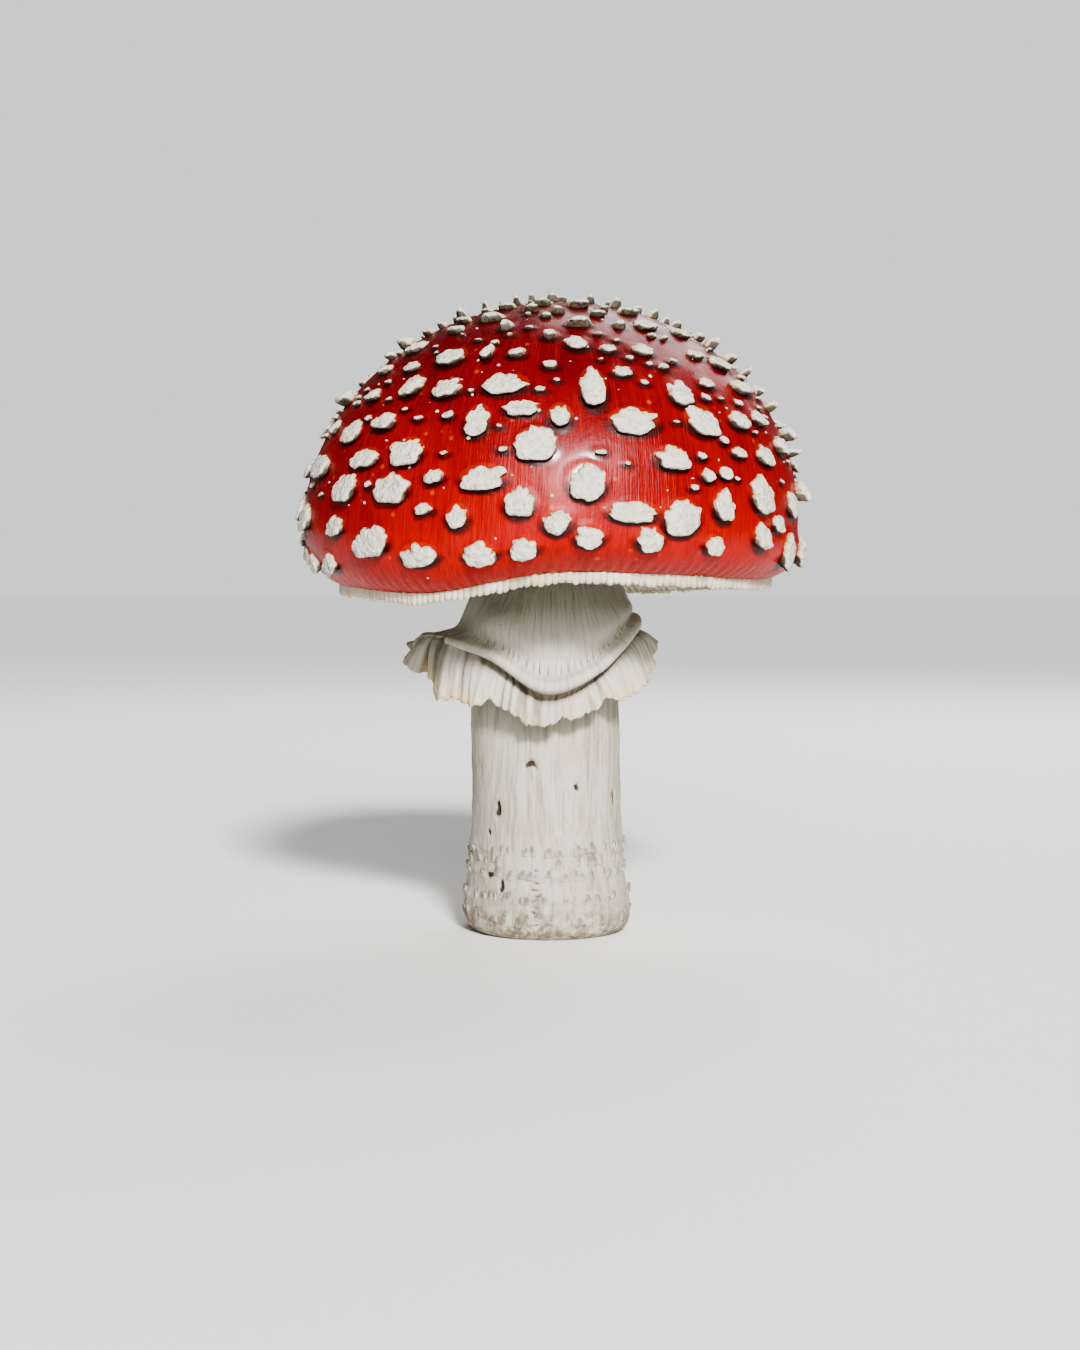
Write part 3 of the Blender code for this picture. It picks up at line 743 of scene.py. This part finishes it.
def ring_relief(azimuth, along):
    """How far the ring's sheet bulges out at a point, and how deep in a fold the point lies, for the painted
    shade of the groove, creases and folds.
    """
    place = rim(azimuth)
    flap = flap_share(azimuth)
    below = smooth((along - CREST_AT - 0.03) / 0.08)
    crest = crest_share(along) * (1 - flap)
    groove = smooth(1.6 - 1.6 * abs(along - CREST_AT - 0.12) / 0.1) * (1 - 0.8 * flap)
    tick = max(0.0, sin(CREASES * azimuth + 5 * noise.noise(place * 6)))
    tick = tick ** 3 * smooth(1 - abs(along - CREST_AT + 0.13) / 0.07) * (1 - flap)
    pleat = 1 - 2.6 * abs(noise.noise(place * PLEAT_WAVES + Vector((0, 0, along * 1.5))))
    fold = 1 - 2.6 * abs(noise.noise(place * FOLD_WAVES + Vector((3, 0, along * 0.8))))
    folded = flap * smooth((along - POUCH_AT) / 0.25)
    slow = smooth((along - POUCH_AT) / 0.3) * noise.noise(place * 3.2 + Vector((0, 0, along * 2.2)))
    out = ROLL * crest - GROOVE * groove - CREASE_DEEP * tick + WRINKLE * slow
    out += PLEAT * below * pleat + FOLD * folded * fold
    deep = 0.9 * groove + 0.8 * tick + 0.6 * below * smooth(0.5 - 1.2 * pleat)
    return out, min(1.0, deep + folded * smooth(0.8 - 1.3 * fold))


def ring_point(azimuth, along):
    """A point of the fine ring's sheet: along runs from 0 at its top to 1 at the torn edge."""
    section = ring_section(azimuth)
    before = [2 * a - b for a, b in zip(section[0], section[1])]
    after = [2 * a - b for a, b in zip(section[-1], section[-2])]
    section = [before, *section, after]
    spans = len(section) - 3
    k = min(int(along * spans), spans - 1)
    radius, z = (between(*values, along * spans - k) for values in zip(*section[k:k + 4]))
    z -= RAGGED_EDGE * rough(rim(azimuth), 17, 41, 0.7) * smooth((along - TUCK_AT) / 0.16)
    return grown(azimuth, radius + ring_relief(azimuth, along)[0], z)


def make_ring(look):
    """A turned flat washer, drawn over the ring's sheet and thickened, most at the crest."""
    washer = [(1.0 - k / RING_ROWS * 0.5, 0.0) for k in range(RING_ROWS + 1)]
    ring = turned("ring_veil", washer, RING_COLUMNS)
    places = []

    def lay(azimuth, radius, z):
        places.append((azimuth, 2 * radius - 1))
        return ring_point(azimuth, 2 * radius - 1)

    reshape(ring, lay)
    # The depth in a fold, kept for the painted shade of the groove, creases and folds.
    store(ring, "fold", [ring_relief(*place)[1] for place in places])
    store(ring, "strand", [rim(*place) for place in places])
    group = ring.vertex_groups.new(name="thick")
    at_edge, off_edge, on_crest = RING_SHARES
    for k, (_, along) in enumerate(places):
        share = at_edge + off_edge * smooth((1 - along) / 0.1) + on_crest * crest_share(along)
        group.add([k], share, "REPLACE")
    thick = ring.modifiers.new("sheet", "SOLIDIFY")
    thick.thickness = RING_THICK
    thick.offset = 0.0
    thick.use_even_offset = False
    thick.vertex_group = "thick"
    evaluated(ring)
    ring.vertex_groups.clear()
    finished(ring, look, "ring")


def stem_radius(height):
    """The radius of the turned stem at a height."""
    for (high_r, high_z), (low_r, low_z) in zip(STEM_PROFILE, STEM_PROFILE[1:]):
        if height >= low_z * MM:
            share = (height / MM - low_z) / (high_z - low_z)
            return (low_r + share * (high_r - low_r)) * MM
    return STEM_PROFILE[-1][0] * MM


def pit_at(azimuth, radius, z):
    """How deep a point of the stem lies in a pit or slit, and how dark the pit's painted shade is there."""
    deepest = darkest = 0.0
    torn_across, torn_up, _ = PIT_TORN * shaken(rim(azimuth, z, radius), PIT_WAVE)
    for centre, height, half_width, half_height, depth in PITS:
        across = radians(degrees_off(azimuth, centre)) * radius / (half_width * MM) + torn_across
        up = (z - height * MM) / (half_height * MM) + torn_up
        inside = smooth(1.2 - hypot(across, up))
        deepest = max(deepest, depth * MM * inside)
        darkest = max(darkest, inside * min(1.0, depth / PIT_DARK))
    return deepest, darkest


def stem_swell(azimuth, radius, z):
    """A point of the turned stem with its ripples, girdles and fine lumps, leaned and bowed."""
    if radius > 0 and 0 < z < RIPPLE_TOP:
        ripple = sin(RIPPLES * azimuth + z / RIPPLE_RISE)
        radius += RIPPLE * ripple * smooth(z / RIPPLE_FADE)
        for k, height in enumerate(GIRDLES):
            broken = smooth(0.5 + 0.9 * sin((4 + k) * azimuth + 2 * k))
            radius += GIRDLE_RISE * broken * smooth(1 - abs(z - height) / GIRDLE_HALF)
        radius += STEM_GRAIN * rough(rim(azimuth, z / (30 * MM)), 9, 23, 0.5) * smooth(z / RIPPLE_FADE)
    return grown(azimuth, radius, z)


def make_stem(look):
    """The stem, turned along a smooth curve through its profile, with its pits."""
    top, foot = STEM_PROFILE[0], STEM_PROFILE[-1]
    known = [(top[0], 2 * top[1] - STEM_PROFILE[1][1])] + STEM_PROFILE + [(12.0, 0.0)]
    profile = [(0.0, top[1] * MM)]
    for k in range(len(STEM_PROFILE) - 1):
        steps = ceil(dist(known[k + 1], known[k + 2]) * MM / STEM_ROW)
        for step in range(steps):
            r, z = (between(*values, step / steps) for values in zip(*known[k:k + 4]))
            profile.append((r * MM, max(0.0, z) * MM))
    profile += [(r * MM, 0.0) for r in (foot[0], 11.0, 7.0, 3.0, 0.0)]
    stem = turned("stem_flesh", profile, STEM_COLUMNS)
    darks = []

    def carve(azimuth, radius, z):
        depth, dark = pit_at(azimuth, radius, z) if radius > 0 and z > 0 else (0.0, 0.0)
        darks.append(dark)
        return stem_swell(azimuth, radius - depth, z)

    reshape(stem, carve)
    store(stem, "pit", darks)
    finished(stem, look, "stem")


class Growth(Tree):
    """A geometry node tree that makes its own shape, with named inputs for its sizes."""

    def __init__(self, name):
        self.values = {}
        super().__init__(bpy.data.node_groups.new(name, "GeometryNodeTree"))
        for side in ("INPUT", "OUTPUT"):
            self.nodes.interface.new_socket("Geometry", in_out=side, socket_type="NodeSocketGeometry")
        self.inside = self.node("NodeGroupInput")

    def size(self, name, value):
        """A named input of the tree, with the value that the modifier gives it."""
        kind = "NodeSocketInt" if isinstance(value, int) else "NodeSocketFloat"
        made = self.nodes.interface.new_socket(name, in_out="INPUT", socket_type=kind)
        self.values[made.identifier] = value
        return Number(self, self.inside.outputs[name])

    def index(self):
        return self.number(0, "GeometryNodeInputIndex")

    def position(self):
        return self.split(self.node("GeometryNodeInputPosition").outputs[0])

    def draw(self, low, high, seed):
        """A random number for each point, the same on every run."""
        sockets = {2: low, 3: high, "Seed": seed}
        return self.number(1, "FunctionNodeRandomValue", sockets, data_type="FLOAT")

    def stray(self, most, seed):
        return self.draw(-most, most, seed)

    def curve(self, radius, points):
        """The height, at a radius, of a smooth curve through (radius, height) points in mm."""
        first, last = points[0][0], points[-1][0]
        share = (radius - first * MM) / (last * MM - first * MM)
        made = self.node("ShaderNodeFloatCurve", {"Factor": 1.0, "Value": share})
        line = made.mapping.curves[0]
        for k, (r, z) in enumerate(points):
            place = (r - first) / (last - first), z * MM
            if k < 2:
                line.points[k].location = place
            else:
                line.points.new(*place)
        made.mapping.update()
        return Number(self, made.outputs[0])

    def block(self, cuts_across, cuts_up):
        """A unit cube about the origin, cut for bending, and the x, y and z of its points."""
        sockets = {"Vertices X": cuts_across, "Vertices Z": cuts_up}
        return self.node("GeometryNodeMeshCube", sockets).outputs[0], *self.position()

    def moved(self, shape, position):
        return self.node("GeometryNodeSetPosition", {"Geometry": shape, "Position": position}).outputs[0]

    def ring_of(self, count, angle, radius, height):
        """Points on a level ring, at an angle from the front for each."""
        points = self.node("GeometryNodePoints", {"Count": count}).outputs[0]
        front = (angle + pi / 2).sine() * radius * -1
        return self.moved(points, self.vector(angle.sine() * radius, front, height))

    def copies(self, points, shape, rotation, scale=(1, 1, 1)):
        sockets = {"Points": points, "Instance": shape, "Rotation": rotation, "Scale": scale}
        return self.node("GeometryNodeInstanceOnPoints", sockets).outputs[0]

    def finish(self, shapes, look, mesh=None):
        """Realizes the shapes, gives them their material and turns them into one plain mesh."""
        joined = self.node("GeometryNodeJoinGeometry")
        for shape in reversed(shapes):
            self.nodes.links.new(shape, joined.inputs[0])
        real = self.node("GeometryNodeRealizeInstances", {"Geometry": joined.outputs[0]})
        dressed = self.node("GeometryNodeSetMaterial", {"Geometry": real.outputs[0], "Material": look})
        self.node("NodeGroupOutput", {0: dressed.outputs[0]})
        made = put(self.nodes.name, mesh or bpy.data.meshes.new(self.nodes.name))
        grow = made.modifiers.new("grow", "NODES")
        grow.node_group = self.nodes
        for identifier, value in self.values.items():
            grow[identifier] = value
        evaluated(made)
        bpy.data.node_groups.remove(self.nodes)
        return made


def make_gills(look):
    """Blades in three lengths, each cut to the curve of the gills' edge and of the flesh above."""
    tree = Growth("gill_blades")
    thick = tree.size("Thickness", GILL_THICK)
    shapes = []
    for k, (count, turn, inner, cuts) in enumerate(GILL_TIERS):
        number = tree.size(f"Blades {k + 1}", count)
        reach = tree.size(f"Inner radius {k + 1}", inner)
        block, x, y, z = tree.block(cuts, 4)
        along = x + 0.5
        up = z + 0.5
        radius = GILL_OUTER + (reach - GILL_OUTER) * along
        edge, roof = tree.curve(radius, GILL_EDGE), tree.curve(radius, GILL_ROOF)
        # A short gill rises to the flesh at its inner end.
        rise = along.step(0.55, 1.0) * (0.86 if k else 0.0)
        low = edge + (roof - edge) * rise
        height = low + (roof - low) * up
        blade = tree.moved(block, tree.vector(y * thick * (0.75 + 0.5 * up), radius * -1, height))
        points = tree.node("GeometryNodePoints", {"Count": number}).outputs[0]
        angle = (tree.index() + turn) * (tau / count) + tree.stray(GILL_STRAY, k)
        shapes.append(tree.copies(points, blade, tree.vector(0.0, 0.0, angle)))
    gills = tree.finish(shapes, look)

    def sway(azimuth, radius, z):
        bend = noise.noise(rim(azimuth, radius / (6 * MM), 9.0))
        return grown(azimuth + GILL_SWAY * bend / radius, radius, z)

    reshape(gills, sway)
    finished(gills, look, "gills")


def make_fringe(look):
    """Rounded teeth of veil that overlap under the margin, uneven in length."""
    tree = Growth("margin_fringe")
    count = tree.size("Teeth", FRINGE_TEETH)
    drop = tree.size("Drop", FRINGE_DROP)
    thick = tree.size("Thickness", FRINGE_THICK)
    width = tau * FRINGE_RADIUS / FRINGE_TEETH * FRINGE_OVERLAP
    block, x, y, z = tree.block(5, 5)
    down = 0.5 - z
    tip = down ** 4
    side = (x * 2) ** 2
    bulge = (1 - side * 0.75) * (1 - 0.3 * tip)
    rounded = down - side * 0.1 * tip
    position = tree.vector(x * width * (1 - 0.22 * tip), y * thick * bulge, rounded * drop * -1)
    tooth = tree.moved(block, position)
    angle = tree.index() * (tau / FRINGE_TEETH)
    points = tree.ring_of(count, angle, FRINGE_RADIUS + tree.stray(FRINGE_STRAY, 3), FRINGE_TOP)
    rotation = tree.vector(tree.draw(*FRINGE_TIP, 5), tree.stray(FRINGE_TURN, 8), angle)
    across, deep = tree.draw(*FRINGE_WIDTHS, 9), tree.draw(*FRINGE_WIDTHS, 6)
    scale = tree.vector(across, deep, tree.draw(*FRINGE_LENGTHS, 7))
    fringe = tree.finish([tree.copies(points, tooth, rotation, scale)], look)

    def scallop(azimuth, radius, z):
        return grown(azimuth, radius, z + FRINGE_SCALLOP * rough(rim(azimuth), 7, 19, 0.6))

    reshape(fringe, scallop)
    finished(fringe, look, "gills")


def make_crumbs(skin, look):
    """Small crumbs of veil scattered on the skin, more of them towards the crown."""
    tree = Growth("veil_crumbs")
    down = tree.number("Attribute", "GeometryNodeInputNamedAttribute", {"Name": "down"}, data_type="FLOAT")
    density = tree.size("Density", CRUMB_DENSITY) * (1.05 - down) ** 2
    ball = tree.node("GeometryNodeMeshIcoSphere", {"Radius": 1.0, "Subdivisions": 1}).outputs[0]
    spread = tree.node("GeometryNodeDistributePointsOnFaces", {
        "Mesh": tree.inside.outputs["Geometry"], "Selection": down.step(0.02, 0.03), "Density": density,
        "Seed": WART_SEED,
    })
    size = tree.draw(*CRUMB_SIZE, 11)
    scale = tree.vector(size, size * tree.draw(0.6, 1.0, 12), size * 0.7)
    shapes = [tree.copies(spread.outputs["Points"], ball, spread.outputs["Rotation"], scale)]
    crumbs = tree.finish(shapes, look, skin.data.copy())
    for vert in crumbs.data.vertices:
        vert.co += shaken(vert.co, 2 * CRUMB_ROUGH) * CRUMB_ROUGH
    for name, value in (("rise", 1.0), ("painted_wall_shade", 0.0)):
        store(crumbs, name, [value] * len(crumbs.data.vertices))
    finished(crumbs, look, "cap")


def make_scales(look):
    """Broken rows of small upright scales above the foot."""
    tree = Growth("girdle_scales")
    width = tree.size("Width", SCALE_WIDTH)
    tall = tree.size("Height", SCALE_HEIGHT)
    block, x, y, z = tree.block(5, 5)
    # Each grows out of the stem at its lower end and stands off it at its tip.
    up = z + 0.5
    inner = 0.5 + y
    bulge = (1 - (x * 2) ** 2 * 0.9) * up * (2 - up)
    out = inner * (SCALE_ROOT * (1 - up) - up ** 4 * SCALE_LEAN * 0.6) - (1 - inner) * SCALE_LEAN * bulge
    narrow = (1 - up ** 3 * 0.9) ** 0.5
    flake = tree.moved(block, tree.vector(x * width * narrow, out, z * tall))
    shapes = []
    for k, (height, count) in enumerate(SCALE_ROWS):
        number = tree.size(f"Row {k + 1}", count)
        angle = tree.index() * (tau / count) + tree.stray(SCALE_STRAY, 10 * k)
        level = height + tree.stray(SCALE_SHIFT, 10 * k + 1)
        points = tree.ring_of(number, angle, stem_radius(height), level)
        chance = tree.draw(0.0, 1.0, 10 * k + 2)
        spare = chance.math("GREATER_THAN", chance, SCALES_KEPT)
        kept = tree.node("GeometryNodeDeleteGeometry", {"Geometry": points, "Selection": spare}).outputs[0]
        wide, high = tree.draw(*SCALE_WIDTHS, 10 * k + 3), tree.draw(*SCALE_HEIGHTS, 10 * k + 4)
        # Deleting points numbers the others anew, so each scale is turned by where it stands.
        px, py, _ = tree.position()
        rotation = tree.vector(0.0, tree.stray(SCALE_TURN, 10 * k + 5), px.math("ARCTAN2", px, py * -1))
        shapes.append(tree.copies(kept, flake, rotation, tree.vector(wide, 1.0, high)))
    scales = tree.finish(shapes, look)
    tips = []

    def settle(azimuth, radius, z):
        tips.append(0.4 * smooth((radius - stem_radius(z)) / SCALE_LEAN))
        return stem_swell(azimuth, radius, z)

    reshape(scales, settle)
    store(scales, "pit", tips)
    finished(scales, look, "stem")


# What the white flesh shares: little gloss, and light that goes a little way in.
SOFT = {"Specular IOR Level": 0.3, "Subsurface Weight": 0.15, "Subsurface Scale": 1.0 * MM}


def skin_look():
    """Moist red skin, deep at the crown and orange towards the margin, with fine radial fibres and a painted
    shadow under each wart.
    """
    gloss = {"Coat Weight": 0.32, "Coat Roughness": 0.18, "Specular IOR Level": 0.3}
    look = Look("cap_skin_red", (0.13, 0.001, 0.002), gloss)
    strand = look.attribute("strand", "Vector")
    down = look.attribute("down")
    near = look.attribute("near_wart")
    under = look.attribute("painted_wart_shadow")
    crown = down.step(0.3, 0.06)
    fibres = look.fibres(strand, 60.0, 7.0)
    threads = look.fibres(strand, 150.0, 18.0, 1.0, 2.0)
    clouds = look.noise(55.0)
    grain = look.noise(900.0, 3.0, 0.65)
    combed = (fibres * 0.5 + threads * 0.5) * (1 - crown) + grain * crown
    low = (down + (clouds - 0.5) * 0.4).step(0.2, 0.95)
    look.lay(low, (0.44, 0.010, 0.003))
    look.lay(combed.step(0.45, 0.72) * 0.5, (0.08, 0.001, 0.001))
    look.lay(combed.step(0.48, 0.28) * 0.3, (0.56, 0.035, 0.008))
    # Flecks of paler flesh where crumbs of the veil have rubbed off.
    flecks = look.cells(330.0).step(0.2, 0.1) * look.noise(130.0, 3.0, 0.5).step(0.52, 0.6)
    look.lay(flecks * 0.35, (0.66, 0.18, 0.05))
    look.lay(near.step(0.6, 1.0) * 0.15, (0.62, 0.10, 0.02))
    # Painted shadow: near black on the skin just below each wart's lower edge.
    look.lay(under * 0.88, (0.020, 0.001, 0.001))
    roughness = 0.3 + 0.16 * clouds + 0.16 * combed
    return look.finish(roughness, [(combed, 0.18 * MM), (grain, 0.08 * MM)])


def felt_look():
    """Dry white veil felt, ochre where it is low, with painted shade darkening its lower wall."""
    look = Look("wart_felt", (0.64, 0.62, 0.54), SOFT)
    clouds = look.noise(300.0)
    crumbs = look.noise(900.0, 4.0, 0.7)
    grit = look.cells(1200.0)
    painted_wall_shade = look.attribute("painted_wall_shade").step(0.15, 0.85)
    low = (1 - look.attribute("rise")) + (clouds - 0.5) * 0.7
    stain = (0.42, 0.33, 0.20)
    look.lay(low.step(0.35, 1.1), stain)
    look.lay(clouds.step(0.5, 0.32) * 0.35, (0.46, 0.43, 0.35))
    look.lay(crumbs.step(0.52, 0.38) * 0.45, stain)
    # Painted shade: the lower wall of each wart darkened nearly to black.
    look.lay(painted_wall_shade * (0.6 + 0.5 * clouds), (0.05, 0.03, 0.015))
    reliefs = [(clouds, 0.9 * MM), (crumbs, 0.5 * MM), (grit, 0.25 * MM)]
    return look.finish(0.78 + 0.15 * crumbs, reliefs)


def ring_look():
    """The ring's soft white sheet, with fine lines down it, painted shade near the cap and in its folds, and
    an ochre edge.
    """
    look = Look("ring_veil_white", (0.54, 0.515, 0.445), SOFT)
    strand = look.attribute("strand", "Vector")
    _, _, along = look.split(strand)
    fold = look.attribute("fold")
    lines = look.fibres(strand, 30.0, 4.0)
    threads = look.fibres(strand, 95.0, 7.0, 1.0, 2.0)
    clouds = look.noise(160.0)
    crumbs = look.noise(1300.0, 3.0, 0.65)
    combed = lines * 0.5 + threads * 0.5
    neck_shade = along.step(0.36, 0.12)
    # The fine lines are the sheet's own; near the neck they are drawn darker as painted shade under the cap.
    look.lay(combed.step(0.55, 0.36) * (0.4 + neck_shade * 0.4), (0.27, 0.22, 0.15))
    # Painted shade: the top of the sheet, under the cap, darkened.
    look.lay(along.step(0.3, 0.08) * 0.45, (0.16, 0.13, 0.09))
    # Painted shade in the groove under the crest, the creases above it and the folds.
    look.lay(fold * (0.45 + clouds * 0.7), (0.13, 0.095, 0.055))
    look.lay(along.step(0.9, 1.0) * clouds.step(0.4, 0.6) * 0.6, (0.62, 0.47, 0.26))
    return look.finish(0.62 + 0.2 * crumbs, [(combed, 0.25 * MM), (crumbs, 0.14 * MM)])


def gill_look():
    look = Look("gill_cream", (0.64, 0.59, 0.48), SOFT)
    clouds = look.noise(120.0)
    grain = look.noise(1200.0)
    look.lay(clouds.step(0.35, 0.7), (0.54, 0.46, 0.33))
    return look.finish(0.6 + 0.2 * grain, [(grain, 0.1 * MM)])


def stem_look():
    """White stem flesh: long fibres, pits with painted shade, felted patches, and soil at the foot."""
    look = Look("stem_white", (0.49, 0.465, 0.39), SOFT)
    _, _, z = look.split(look.place)
    pit = look.attribute("pit")
    fibres = look.fibres(look.place, 1.0, 0.12, 420.0, 4.0, 0.65, 0.5)
    threads = look.fibres(look.place, 1.0, 0.05, 2200.0, 2.0)
    clouds = look.noise(90.0, 4.0)
    specks = look.noise(420.0, 3.0, 0.7)
    combed = fibres * 0.5 + threads * 0.5
    look.lay(combed.step(0.56, 0.36) * 0.6, (0.25, 0.205, 0.135))
    look.lay(clouds.step(0.48, 0.72) * 0.4, (0.38, 0.31, 0.20))
    foot = (z + (clouds - 0.5) * (16 * MM)).step(12 * MM, 0.0)
    look.lay(foot * specks.step(0.38, 0.62) * 0.8, (0.17, 0.11, 0.06))
    # Painted shade: the pits and slits darkened nearly to black by their depth. The scales darken the same
    # way where they stand off the stem.
    look.lay(pit.step(0.1, 0.7) * 0.96, (0.045, 0.027, 0.016))
    return look.finish(0.62 + 0.2 * combed, [(combed, 0.2 * MM), (specks, 0.15 * MM)])


def make_floor():
    bpy.ops.mesh.primitive_plane_add(size=40.0)
    floor = bpy.context.object
    floor.name = "floor"
    look = Look("pale_floor", (0.88, 0.88, 0.87), {"Roughness": 0.9})
    floor.data.materials.append(look.material)


def shine(name, kind, place, **settings):
    """Puts a light at a place, turned towards the ring."""
    made = put(name, bpy.data.lights.new(name, kind), place, **settings)
    to_ring = Vector((0, 0, 0.07)) - made.location
    made.rotation_euler = to_ring.to_track_quat("-Z", "Y").to_euler()


def make_studio():
    """A low sun from the front, soft boxes in front and behind, and a weak pale surround."""
    shine("key", "SUN", (0.11, -0.5, 0.36), energy=4.0, angle=radians(9))
    shine("front box", "AREA", (0.10, -0.95, 0.40), energy=4.0, size=0.4)
    shine("back box", "AREA", (0.30, 0.65, 0.75), energy=3.6, size=0.6)
    world = bpy.data.worlds.new("studio")
    bpy.context.scene.world = world
    world.use_nodes = True
    surround = Tree(world.node_tree)
    seen = surround.number("Is Camera Ray", "ShaderNodeLightPath")
    ground = world.node_tree.nodes["Background"]
    ground.inputs["Color"].default_value = (0.97, 0.98, 1.0, 1.0)
    # The camera sees it brighter than it lights.
    surround.feed(ground.inputs["Strength"], seen * 0.56 + 0.12)
    bpy.context.scene.view_settings.look = "AgX - High Contrast"


def make_camera():
    """The photograph's view: from the front, level with the margin, tilted a little down."""
    data = bpy.data.cameras.new("camera")
    camera = put("camera", data, (-0.0016, -0.400, 0.068), lens=53.3, sensor_width=36.0, clip_start=0.01)
    camera.rotation_euler = (radians(90 - 2.43), 0, 0)
    bpy.context.scene.camera = camera


warts = choose_warts()
felt = felt_look()
cap_skin = make_cap_skin(warts, skin_look())
make_warts(warts, felt)
make_crumbs(cap_skin, felt)
gill_cream = gill_look()
make_gills(gill_cream)
make_fringe(gill_cream)
make_ring(ring_look())
stem_white = stem_look()
make_stem(stem_white)
make_scales(stem_white)
make_floor()
make_studio()
make_camera()
